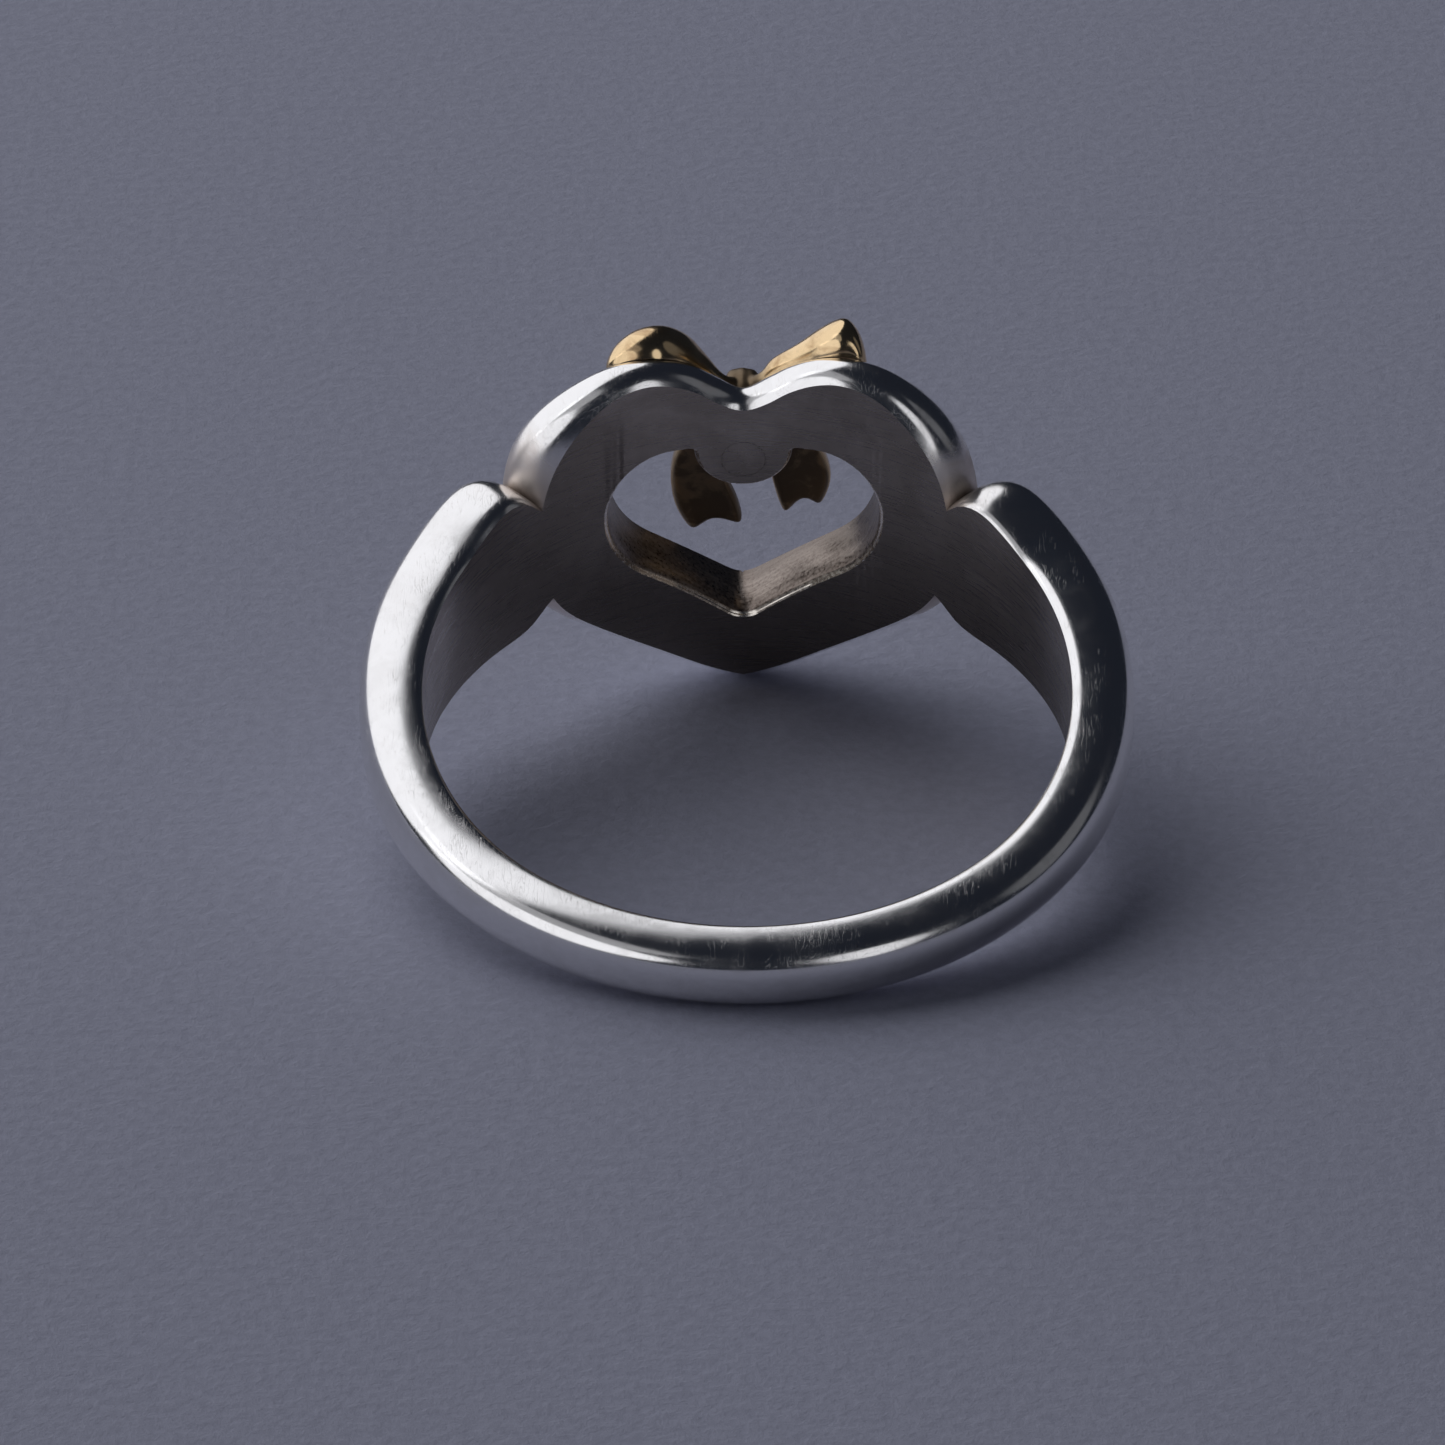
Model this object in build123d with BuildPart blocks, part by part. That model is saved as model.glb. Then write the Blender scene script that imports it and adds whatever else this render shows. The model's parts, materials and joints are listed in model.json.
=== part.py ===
from build123d import *
import os
from math import asin, atan2, cos, degrees, hypot, pi, radians, sin, sqrt, tan

# A worn finger ring with an open, puffed heart for its head and a small ribbon bow over the
# heart's notch. The ring is drawn about its own bore axis (Z) with the heart at +Y, and is then
# tipped until it lies on a table as it does by itself: on the heart's point and on the back of
# the shank. All sizes are in millimetres.

# The bore and the shank
bore_radius = 8.25
core = 0.6  # how far the lofts reach inside the bore before it is cut
back_width = 1.84  # shank's width at the back
back_thickness = 1.42
shoulder_width = 4.3  # and beside the heart
shoulder_thickness = 2.25
dome_angle = 12.0  # how much the shank's outside is domed, in degrees
edge_lean = 0.7  # below 1 the rounded edges meet the bore at an angle

# The heart, measured along the bore's wall
heart_width = 11.5
lobe_rise = 4.73  # from the ring's middle up to the top of the lobes
point_drop = 5.57  # from the ring's middle down to the heart's point
heart_thickness = 2.1
opening_thickness = 1.72  # thinner towards the opening
wall_bulge = 0.53  # how far the wall stands out past its back edge
bulge_height = 1.0  # height above the bore at which it stands out most
wall_lean = 0.6  # 0 the walls stand straight out from the bore, 1 they all stand along Y

# The opening in the heart, seen along Y
opening_width = 7.1
opening_top = 2.35
opening_middle = 0.6  # height at which the opening is widest
opening_drop = 3.56  # from the ring's middle down to the opening's own point
opening_slope = 38.0  # of its two lower sides, in degrees
web_radius = 1.24  # the round web that hangs from the notch into the opening
web_rise = 2.27
corner_round = 0.22

# The bow and its rivet
piece_gap = 0.05
loop_reach = 3.6  # from the knot's middle to the left loop's outer end
loop_depth = 0.75  # half a loop's depth at its fullest
loop_height = 0.75  # half its height there
knot_width = 0.9
knot_height = 0.85
knot_depth = 1.3
knot_rise = 3.1
knot_round = 0.4
left_tail = 5.1  # length from the knot's middle down to the tail's tip
right_tail = 4.53
tail_thickness = 0.55
tail_stand = 0.12  # from the web's front to the tails' back
rivet_radius = 0.57
rivet_rise = 1.95
rivet_grip = 0.3  # how far the rivet reaches into the bow
seat_radius = 0.85  # the bow's flat seat round the rivet

# Where the shank runs in under the heart's wall, and the round end of the shoulder beside the
# wall. Width and thickness are shares of the shoulder's.
shoulder_rows = [
    # angle from the heart, width, thickness
    (32.0, 0.50, 0.27),
    (36.0, 0.62, 0.36),
    (40.0, 0.80, 0.62),
    (44.5, 0.96, 0.92),
]
shoulder_angle = 50.0  # from the heart to the first section after the shoulder's round end
taper_start_angle = 40.0  # to where the taper would begin
taper_angle = 138.0  # and to where the shank has its width at the back
shank_steps = 13  # sections from the shoulder to the back

# The heart's back edge, from the notch over the right lobe and down to the point. Across is a
# share of half the heart's width, rise a share of lobe_rise above the middle and of point_drop
# below it, turn the way the wall faces in degrees from straight up, reach how far the section
# runs in towards the opening as a share of the heart's thickness, height the wall's height there
# as a share of the full one, and front the thickness at the opening as a share of its own.
heart_rows = [
    # across, rise, turn, reach, height, front
    (-0.11, 0.72, 0.0, 1.25, 0.38, 1.0),
    (0.0, 0.755, 0.0, 1.25, 0.42, 1.0),
    (0.11, 0.813, 0.0, 1.28, 0.54, 1.0),
    (0.20, 0.895, 0.0, 1.28, 0.54, 1.0),
    (0.32, 0.969, 0.0, 1.20, 0.54, 1.0),
    (0.46, 1.0, 0.0, 1.17, 0.56, 1.0),
    (0.63, 0.945, 21.0, 1.12, 0.68, 1.0),
    (0.81, 0.775, 45.0, 1.05, 0.87, 1.0),
    (0.93, 0.575, 64.0, 1.05, 0.99, 1.0),
    (0.99, 0.335, 80.0, 1.05, 1.0, 0.98),
    (1.0, 0.085, 94.0, 1.05, 1.0, 0.94),
    (0.955, -0.175, 108.0, 1.05, 1.0, 0.85),
    (0.84, -0.388, 122.0, 1.06, 1.0, 0.78),
    (0.63, -0.597, 133.0, 1.06, 1.0, 0.76),
    (0.175, -0.93, 158.0, 1.05, 1.0, 0.92),
    (0.0, -1.0, 180.0, 1.05, 1.0, 1.0),
    (-0.175, -1.03, 200.0, 1.05, 1.0, 1.0),
]

# Sections of a loop from the knot outwards. Across is a share of loop_reach, depth and height
# of half the loop's, out how far its middle stands off the bore's wall as a share of the
# heart's thickness, and rise a share of lobe_rise, because the loops lie over the lobes. The
# left loop is a round arch and the right one comes to a peak.
left_loop_rows = [
    # across, depth, height, out, rise
    (0.05, 0.36, 0.38, 0.62, 0.69),
    (0.14, 0.42, 0.44, 0.605, 0.71),
    (0.26, 0.62, 0.62, 0.69, 0.78),
    (0.40, 0.88, 0.88, 0.676, 0.88),
    (0.58, 1.0, 1.0, 0.571, 0.96),
    (0.77, 0.90, 0.90, 0.51, 0.97),
    (0.92, 0.58, 0.58, 0.467, 0.94),
    (0.985, 0.20, 0.20, 0.395, 0.915),
]
right_loop_rows = [
    # across, depth, height, out, rise
    (0.05, 0.36, 0.38, 0.63, 0.69),
    (0.135, 0.40, 0.40, 0.66, 0.71),
    (0.21, 0.50, 0.50, 0.725, 0.76),
    (0.386, 0.60, 0.60, 0.683, 0.855),
    (0.55, 0.82, 0.82, 0.635, 0.94),
    (0.705, 0.93, 0.93, 0.62, 0.992),
    (0.775, 0.88, 0.88, 0.62, 1.0),
    (0.838, 0.62, 0.62, 0.516, 0.965),
    (0.875, 0.27, 0.27, 0.42, 0.935),
]

# The tails' sides from the knot down, as shares of each tail's own length: across from the
# knot's middle, and down from it. Each tail ends in a V cut between two points.
left_tail_outer = [
    (-0.05, 0.03), (-0.09, 0.18), (-0.233, 0.33), (-0.332, 0.49), (-0.356, 0.655), (-0.331, 0.845),
    (-0.25, 1.0),
]
left_tail_cut = (-0.155, 0.918)
left_tail_inner = [
    (-0.017, 0.967), (-0.043, 0.793), (-0.086, 0.638), (-0.073, 0.44), (0.0, 0.2), (0.03, 0.03),
]
right_tail_outer = [
    (0.05, 0.03), (0.101, 0.197), (0.271, 0.307), (0.393, 0.45), (0.478, 0.645), (0.484, 0.789),
    (0.431, 0.941),
]
right_tail_cut = (0.331, 0.882)
right_tail_inner = [
    (0.2325, 1.0), (0.186, 0.856), (0.144, 0.653), (0.085, 0.45), (0.0, 0.205), (-0.03, 0.03),
]


def corner_centre(half_width, thickness):
    # a shank section's outer corner: its radius, and the radius at which its centre stands
    corner = 0.42 * thickness
    turn = radians(dome_angle)
    chord = half_width - corner + corner * sin(turn)
    crown = chord * tan(turn / 2)
    return corner, bore_radius + thickness - crown - corner * cos(turn)


def shank_section(angle, half_width, thickness):
    # a bore side with rounded edges, straight sides and a domed outside, drawn in the plane
    # through the bore's axis at this angle from the heart
    out = Vector(sin(radians(angle)), cos(radians(angle)), 0)
    plane = Plane(origin=(0, 0, 0), x_dir=out, z_dir=out.cross(Vector(0, 0, 1)))
    inner = bore_radius - core
    edge = 0.26 * thickness
    edge_centre = bore_radius + edge * edge_lean
    flat = half_width - edge
    corner, centre = corner_centre(half_width, thickness)
    low = half_width - corner
    turn = radians(dome_angle)
    dome_start = centre + corner * cos(turn)
    dome_half = low + corner * sin(turn)
    with BuildSketch(plane) as section:
        with BuildLine():
            Line((inner, flat), (inner, -flat))
            Line((inner, -flat), (edge_centre - edge, -flat))
            CenterArc((edge_centre, -flat), edge, 180, 90)
            Line((edge_centre, -half_width), (centre, -half_width))
            CenterArc((centre, -low), corner, 270, 90 - dome_angle)
            ThreePointArc((dome_start, -dome_half), (bore_radius + thickness, 0), (dome_start, dome_half))
            CenterArc((centre, low), corner, dome_angle, 90 - dome_angle)
            Line((centre, half_width), (edge_centre, half_width))
            CenterArc((edge_centre, flat), edge, 90, 90)
            Line((edge_centre - edge, flat), (inner, flat))
        make_face()
    return section.sketch


def shank_row(angle):
    # the shank's half width and thickness at an angle: the width falls from the shoulder's to
    # the back's along half a wave, and the thickness sooner
    share = min((angle - taper_start_angle) / (taper_angle - taper_start_angle), 1)
    fall = (1 + cos(pi * share)) / 2
    width = back_width + (shoulder_width - back_width) * fall
    return angle, width / 2, back_thickness + (shoulder_thickness - back_thickness) * fall**2


def build_half_shank():
    step = (180 - shoulder_angle) / shank_steps
    head = [
        (angle, shoulder_width / 2 * width, shoulder_thickness * thickness)
        for angle, width, thickness in shoulder_rows
    ]
    rows = [shank_row(shoulder_angle + step * index) for index in range(shank_steps)]
    back = [(angle, back_width / 2, back_thickness) for angle in (180, 180 + step, 180 + 2 * step)]
    with BuildPart() as shank:
        loft([shank_section(*row) for row in [*head, *rows, *back]])
        split(bisect_by=Plane.YZ, keep=Keep.TOP)
    return shank.part


def height_at(radius, lean, inward):
    # how high above its base line a leaning section reaches this distance from the bore's axis
    upright = bore_radius * cos(lean)
    aside = bore_radius * sin(lean) - inward
    return sqrt(radius**2 - aside**2) - upright


def heart_section(across, rise, turn, reach, height, front, grow):
    # the puffed wall: out from its back edge, round the bulge and over the front towards the
    # opening. grow makes the same wall larger all over, for the bow's clearance.
    angle = across * heart_width / 2 / bore_radius
    lean = angle * wall_lean
    up = rise * (lobe_rise if rise > 0 else point_drop)
    foot_place = Vector(bore_radius * sin(angle), bore_radius * cos(angle), up)
    out = Vector(sin(angle - lean), cos(angle - lean), 0)
    along = Vector(cos(angle - lean), -sin(angle - lean), 0)
    facing = along * sin(radians(turn)) + Vector(0, 0, 1) * cos(radians(turn))
    plane = Plane(origin=foot_place, x_dir=facing, z_dir=facing.cross(out))
    bulge = wall_bulge * height + grow
    middle = bulge_height * height
    top = heart_thickness * height + grow
    wall_radius = (bulge**2 + middle**2) / (2 * bulge)
    wall_foot = 0.15 * middle
    foot = (bulge - wall_radius + sqrt(wall_radius**2 - (middle - wall_foot) ** 2), wall_foot)
    wall_turn = degrees(asin((middle - wall_foot) / wall_radius))
    front_radius = top - middle
    depth = reach * heart_thickness
    inward = depth * sin(radians(turn))
    front_face = bore_radius + opening_thickness * front + grow
    front_end = (-depth, height_at(front_face, lean, inward))
    inner_end = (-depth, height_at(bore_radius - core, lean, inward))
    inner_foot = (-core * foot[0] / foot[1], -core)
    with BuildSketch(plane) as section:
        with BuildLine():
            Line(inner_foot, foot)
            CenterArc((bulge - wall_radius, middle), wall_radius, -wall_turn, wall_turn)
            CenterArc((bulge - front_radius, middle), front_radius, 0, 90)
            TangentArc((bulge - front_radius, top), front_end, tangent=(-1, 0))
            Line(front_end, inner_end)
            Line(inner_end, inner_foot)
        make_face()
    return section.sketch


def build_half_heart(grow=0.0):
    with BuildPart() as blank:
        loft([heart_section(*row, grow) for row in heart_rows])
        split(bisect_by=Plane.YZ, keep=Keep.TOP)
    return blank.part


def opening_face():
    # a heart with straight lower sides, round shoulders and the round web hanging into it
    half = opening_width / 2
    steep = tan(radians(opening_slope))
    side_turn = 90 - opening_slope
    across, down = 1 - cos(radians(side_turn)), sin(radians(side_turn))
    side_radius = (opening_middle + opening_drop - half * steep) / (down - across * steep)
    start = (half - side_radius * across, opening_middle - side_radius * down)
    top_radius = opening_top - opening_middle
    corner = min(corner_round, 0.8 * (half - top_radius - web_radius))
    with BuildSketch(Plane.XZ) as face:
        with BuildLine():
            Line((0, -opening_drop), start)
            CenterArc((half - side_radius, opening_middle), side_radius, -side_turn, side_turn)
            CenterArc((half - top_radius, opening_middle), top_radius, 0, 90)
            Line((half - top_radius, opening_top), (0, opening_top))
            mirror(about=Plane.YZ)
        make_face()
        with Locations((0, web_rise)):
            Circle(web_radius, mode=Mode.SUBTRACT)
        fillet(face.vertices().group_by(Axis.Y)[-1].sort_by(Axis.X)[1:3], corner)
    return face.sketch


def build_half_ring():
    with BuildPart() as half:
        add(build_half_shank())
        add(build_half_heart())
        Cylinder(bore_radius, 4 * point_drop, mode=Mode.SUBTRACT)
        with BuildSketch(Plane.XZ):
            add(opening_face())
        extrude(amount=-2 * bore_radius, mode=Mode.SUBTRACT)
        with Locations(Plane((0, bore_radius, rivet_rise), z_dir=(0, 1, 0))):
            Cylinder(rivet_radius + piece_gap, 4 * heart_thickness, mode=Mode.SUBTRACT)
    return half.part


def build_ring():
    with BuildPart() as ring:
        add(build_half_ring())
        mirror(about=Plane.YZ)
    return ring.part


def loop_section(side, across, depth, height, out, rise):
    centre = (side * across * loop_reach, bore_radius + out * heart_thickness, rise * lobe_rise)
    with BuildSketch(Plane(origin=centre, x_dir=(0, 1, 0), z_dir=(side, 0, 0))) as section:
        Ellipse(depth * loop_depth, height * loop_height)
    return section.sketch


def build_loop(side, rows):
    with BuildPart() as loop:
        loft([loop_section(side, *row) for row in rows])
    return loop.part


def build_tail(length, outer, cut, inner):
    def place(share):
        return (share[0] * length, knot_rise - share[1] * length)

    back = bore_radius + opening_thickness + tail_stand
    with BuildPart() as tail:
        with BuildSketch(Plane.XZ.offset(-back)):
            with BuildLine():
                Spline(*[place(share) for share in outer])
                Polyline(place(outer[-1]), place(cut), place(inner[0]))
                Spline(*[place(share) for share in inner])
                Line(place(inner[-1]), place(outer[0]))
            make_face()
        extrude(amount=-tail_thickness)
    return tail.part


def build_knot():
    middle = bore_radius + opening_thickness + tail_stand + tail_thickness / 2 - knot_depth / 2
    with BuildPart() as knot:
        with Locations((0, middle, knot_rise)):
            Box(knot_width, knot_depth, knot_height)
        fillet(knot.edges(), knot_round)
    return knot.part


def rivet_place():
    # the rivet's axis, starting in the middle of the ring and running out through the web
    return Plane((0, 0, rivet_rise), x_dir=(1, 0, 0), z_dir=(0, 1, 0))


def build_bow():
    # the seat is a short boss round the rivet's blind hole, and what would reach into the heart
    # is cut off with a clearance
    rivet_end = bore_radius + opening_thickness + rivet_grip
    seat_end = bore_radius + opening_thickness + tail_stand + tail_thickness / 2
    from_axis = (Align.CENTER, Align.CENTER, Align.MIN)
    right_side = build_half_heart(piece_gap)
    with BuildPart() as bow:
        with Locations(rivet_place()):
            Cylinder(seat_radius, seat_end, align=from_axis)
        add(build_knot())
        add(build_loop(-1, left_loop_rows))
        add(build_loop(1, right_loop_rows))
        add(build_tail(left_tail, left_tail_outer, left_tail_cut, left_tail_inner))
        add(build_tail(right_tail, right_tail_outer, right_tail_cut, right_tail_inner))
        add(right_side, mode=Mode.SUBTRACT)
        add(right_side.mirror(Plane.YZ), mode=Mode.SUBTRACT)
        with Locations(rivet_place()):
            Cylinder(seat_radius + piece_gap, bore_radius + core, align=from_axis, mode=Mode.SUBTRACT)
            Cylinder(rivet_radius + piece_gap, rivet_end + piece_gap, align=from_axis, mode=Mode.SUBTRACT)
    return bow.part


def build_rivet():
    rivet_end = bore_radius + opening_thickness + rivet_grip
    with BuildPart() as rivet:
        with Locations(rivet_place()):
            Cylinder(rivet_radius, rivet_end, align=(Align.CENTER, Align.CENTER, Align.MIN))
        Cylinder(bore_radius, 4 * point_drop, mode=Mode.SUBTRACT)
    return rivet.part


def lying_place(pieces):
    # tips the ring until the heart's point and the lower edge of the shank's back both touch the
    # table, which is a line under two circles: one in the point's wall, one in the back's corner
    point_radius = (wall_bulge**2 + bulge_height**2) / (2 * wall_bulge)
    point_y = bore_radius + bulge_height
    point_z = point_radius - point_drop - wall_bulge
    corner, back_centre = corner_centre(back_width / 2, back_thickness)
    back_y, back_z = -back_centre, corner - back_width / 2
    along_y, along_z = point_y - back_y, point_z - back_z
    tilt = asin((point_radius - corner) / hypot(along_y, along_z)) - atan2(along_z, along_y)
    lift = point_radius - point_y * sin(tilt) - point_z * cos(tilt)
    turned = [piece.rotate(Axis.X, degrees(tilt)).bounding_box() for piece in pieces]
    front = max(box.max.Y for box in turned)
    rear = min(box.min.Y for box in turned)
    return Location((0, -(front + rear) / 2, lift), (degrees(tilt), 0, 0))


cast_ring = build_ring()
cast_bow = build_bow()
drawn_rivet = build_rivet()
lying = lying_place([cast_ring, cast_bow])

with BuildPart() as ring_body:
    with Locations(lying):
        add(cast_ring)

with BuildPart() as gold_bow:
    with Locations(lying):
        add(cast_bow)

with BuildPart() as bow_rivet:
    with Locations(lying):
        add(drawn_rivet)

os.makedirs("parts", exist_ok=True)
ring_body.part.label = "ring_body"
export_step(ring_body.part, "parts/ring_body.step")
gold_bow.part.label = "gold_bow"
export_step(gold_bow.part, "parts/gold_bow.step")
bow_rivet.part.label = "bow_rivet"
export_step(bow_rivet.part, "parts/bow_rivet.step")
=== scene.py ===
import bpy
import bmesh
import json
from math import atan2, cos, degrees, exp, pi, radians, sin, sqrt, tan
from mathutils import Matrix, Vector
from mathutils.bvhtree import BVHTree


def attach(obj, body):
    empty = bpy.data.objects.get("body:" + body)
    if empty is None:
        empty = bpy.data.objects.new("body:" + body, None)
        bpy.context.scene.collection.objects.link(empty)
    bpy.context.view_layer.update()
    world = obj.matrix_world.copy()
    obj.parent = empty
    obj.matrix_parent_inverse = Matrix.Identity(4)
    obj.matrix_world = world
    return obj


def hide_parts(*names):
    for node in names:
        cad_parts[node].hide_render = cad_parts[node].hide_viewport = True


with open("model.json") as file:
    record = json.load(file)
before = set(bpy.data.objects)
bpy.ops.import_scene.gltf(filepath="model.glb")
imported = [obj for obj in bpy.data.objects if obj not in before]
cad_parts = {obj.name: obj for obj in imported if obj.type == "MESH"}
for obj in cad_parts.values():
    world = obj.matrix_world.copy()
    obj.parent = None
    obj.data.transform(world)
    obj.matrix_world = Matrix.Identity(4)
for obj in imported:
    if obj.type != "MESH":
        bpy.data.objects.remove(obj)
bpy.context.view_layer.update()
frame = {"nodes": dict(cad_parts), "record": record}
print("frame loaded:", ", ".join(sorted(frame["nodes"])))


# Where the ring lies: its bore's axis leans, because it rests on the heart's point and on the
# back of the shank. Every piece is drawn in millimetres about an upright bore, heart at +Y,
# and this matrix lays it down in metres.
boreMount = next(mount for mount in frame["record"]["mounts"] if mount["name"] == "finger_bore")
boreWay = Vector(boreMount["axis"]).normalized()
headWay = boreWay.cross(Vector((1, 0, 0)))
ringCentre = Vector(boreMount["pos_m"])
standing = Matrix((Vector((1, 0, 0)), headWay, boreWay)).transposed()
lying = Matrix.Translation(ringCentre) @ standing.to_4x4() @ Matrix.Scale(0.001, 4)


# The camera: its angle and distance were worked out from the bore's two rims in the photo
view = {
    "imageSize": 1445,
    "pixelsPerMm": 39.25,     # at the bore's middle
    "distance": 0.25,
    "height": 42.11,          # degrees above the bore's own plane
    "swing": -0.7,            # degrees round the bore from straight behind the shank
    "ringPixel": (747.2, 727.8),
    "sensor": 36.0,
}


def placeCamera():
    up, swing = radians(view["height"]), radians(view["swing"])
    back = Vector((sin(swing) * cos(up), -cos(swing) * cos(up), sin(up)))
    right = Vector((cos(swing), sin(swing), 0))
    top = back.cross(right)
    place = ringCentre + standing @ back * view["distance"]
    middle = view["imageSize"] / 2
    aside = (view["ringPixel"][0] - middle) / view["pixelsPerMm"] * 0.001
    below = (view["ringPixel"][1] - middle) / view["pixelsPerMm"] * 0.001
    target = ringCentre + standing @ (top * below - right * aside)
    away = (place - target).normalized()
    side = (standing @ top).cross(away).normalized()
    turned = Matrix((side, away.cross(side), away)).transposed().to_4x4()
    data = bpy.data.cameras.new("photoCamera")
    data.sensor_width = view["sensor"]
    data.lens = view["sensor"] * view["pixelsPerMm"] * view["distance"] * 1000 / view["imageSize"]
    data.clip_start, data.clip_end = 0.01, 10
    camera = bpy.data.objects.new("photoCamera", data)
    camera.matrix_world = Matrix.Translation(place) @ turned
    bpy.context.scene.collection.objects.link(camera)
    bpy.context.scene.camera = camera


placeCamera()
print("camera placed")


# Node helpers

def addNode(tree, kind, inputs=None, **settings):
    node = tree.nodes.new(kind)
    for name, value in settings.items():
        setattr(node, name, value)
    for socket, value in (inputs or {}).items():
        if isinstance(value, bpy.types.NodeSocket):
            tree.links.new(value, node.inputs[socket])
        else:
            node.inputs[socket].default_value = value
    return node


def calculate(tree, operation, *values):
    return addNode(tree, "ShaderNodeMath", dict(enumerate(values)), operation=operation).outputs[0]


def multiply(tree, first, second):
    return calculate(tree, "MULTIPLY", first, second)


def more(tree, value, mask, amount):
    # the value, with the amount added where the mask is 1
    return calculate(tree, "MULTIPLY_ADD", mask, amount, value)


def inverse(tree, mask):
    return calculate(tree, "SUBTRACT", 1.0, mask)


def fade(tree, value, low, high, start=0.0, end=1.0):
    # a soft step from start to end while the value goes from low to high
    node = addNode(tree, "ShaderNodeMapRange", {
        "Value": value, "From Min": low, "From Max": high,
        "To Min": start, "To Max": end}, interpolation_type="SMOOTHSTEP")
    return node.outputs["Result"]


def blend(tree, amount, first, second):
    # sockets 0, 6 and 7 take the amount and the two colours, and output 2 gives the colour
    node = addNode(tree, "ShaderNodeMix", {0: amount, 6: first, 7: second}, data_type="RGBA")
    return node.outputs[2]


def noise(tree, place, scale, detail, roughness=0.5, distortion=0.0):
    return addNode(tree, "ShaderNodeTexNoise", {
        "Vector": place, "Scale": scale, "Detail": detail,
        "Roughness": roughness, "Distortion": distortion}).outputs[0]


def mapped(tree, place, scale=(1, 1, 1), turn=(0, 0, 0), shift=(0, 0, 0)):
    return addNode(tree, "ShaderNodeMapping", {
        "Vector": place, "Location": shift, "Rotation": turn, "Scale": scale}).outputs[0]


def newGroup(name, inputs, outputs):
    tree = bpy.data.node_groups.new(name, "ShaderNodeTree")
    for socket, kind, value in inputs:
        made = tree.interface.new_socket(name=socket, in_out="INPUT", socket_type=kind)
        if value is not None:
            made.default_value = value
    for socket in outputs:
        tree.interface.new_socket(name=socket, in_out="OUTPUT", socket_type="NodeSocketFloat")
    return tree, addNode(tree, "NodeGroupInput").outputs, addNode(tree, "NodeGroupOutput")


def useGroup(tree, group, place, values):
    return addNode(tree, "ShaderNodeGroup", {"Vector": place, **values}, node_tree=group).outputs


# Effects that several finishes share. All of them read millimetres about the upright bore.
scratchWays = [(0.4, 0.2, 0.5), (1.3, 0.7, 2.0), (2.2, 1.1, 0.9),
               (0.1, 2.1, 1.4), (1.8, 0.3, 2.7), (0.9, 1.6, 0.2)]


def makeScratches():
    # long fine lines in several directions, in patches
    tree, given, result = newGroup("fineScratches", [
        ("Vector", "NodeSocketVector", None),
        ("Fineness", "NodeSocketFloat", 7.0),
        ("Width", "NodeSocketFloat", 0.012),
        ("Patches", "NodeSocketFloat", 0.5)], ["Lines"])
    patchEnd = calculate(tree, "ADD", given["Patches"], 0.12)
    total = None
    for turn in scratchWays:
        stretched = mapped(tree, given["Vector"], (1.0, 0.11, 1.0), turn)
        wave = noise(tree, stretched, given["Fineness"], 1.0)
        near = calculate(tree, "ABSOLUTE", calculate(tree, "SUBTRACT", wave, 0.5))
        line = fade(tree, near, 0.0, given["Width"], 1.0, 0.0)
        moved = mapped(tree, given["Vector"], shift=[7 * part for part in turn])
        patch = noise(tree, moved, 0.8, 2.0)
        line = multiply(tree, line, fade(tree, patch, given["Patches"], patchEnd))
        total = line if total is None else calculate(tree, "MAXIMUM", total, line)
    tree.links.new(total, result.inputs["Lines"])
    return tree


def makeHandling():
    # smudges left by wear, and the faint waves of a hand-polished surface
    tree, given, result = newGroup("handling", [
        ("Vector", "NodeSocketVector", None),
        ("Size", "NodeSocketFloat", 1.0)], ["Smudges", "Waves"])
    scale = calculate(tree, "DIVIDE", 1.0, given["Size"])
    large = noise(tree, given["Vector"], scale, 5.0, 0.62, 0.6)
    waves = noise(tree, given["Vector"], multiply(tree, scale, 0.7), 1.0)
    tree.links.new(fade(tree, large, 0.42, 0.72), result.inputs["Smudges"])
    tree.links.new(waves, result.inputs["Waves"])
    return tree


def makePits():
    # a few tiny round pits
    tree, given, result = newGroup("tinyPits", [
        ("Vector", "NodeSocketVector", None),
        ("Number", "NodeSocketFloat", 1.6),
        ("Radius", "NodeSocketFloat", 0.05),
        ("Share", "NodeSocketFloat", 0.35)], ["Pits"])
    cells = addNode(tree, "ShaderNodeTexVoronoi", {
        "Vector": given["Vector"], "Scale": given["Number"]}).outputs
    parts = addNode(tree, "ShaderNodeSeparateColor", {"Color": cells["Color"]}).outputs
    picked = calculate(tree, "LESS_THAN", parts[0], given["Share"])
    found = fade(tree, cells["Distance"], 0.0, given["Radius"], 1.0, 0.0)
    tree.links.new(multiply(tree, found, picked), result.inputs["Pits"])
    return tree


scratches, handling, pits = makeScratches(), makeHandling(), makePits()


def newMaterial(name):
    mat = bpy.data.materials.new(name)
    mat.use_nodes = True
    return mat, mat.node_tree, mat.node_tree.nodes["Principled BSDF"]


def ringPlace(tree):
    # millimetres about the upright bore, from the piece's own coordinates
    coords = addNode(tree, "ShaderNodeTexCoord").outputs["Object"]
    lean = -atan2(-boreWay.y, boreWay.z)
    centre = standing.transposed() @ ringCentre * 1000
    return mapped(tree, coords, (1000, 1000, 1000), (lean, 0, 0), -centre)


def raised(tree, height, distance, normal=None):
    inputs = {"Height": height, "Distance": distance, "Strength": 1.0}
    if normal is not None:
        inputs["Normal"] = normal
    return addNode(tree, "ShaderNodeBump", inputs).outputs[0]


def wearOf(tree, place, finish):
    # the scratches, smudges, waves and pits of one finish
    lines = useGroup(tree, scratches, place, finish["scratches"])["Lines"]
    worn = useGroup(tree, handling, place, finish["handling"])
    holes = useGroup(tree, pits, place, finish["pits"])["Pits"]
    return lines, worn["Smudges"], worn["Waves"], holes


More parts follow.
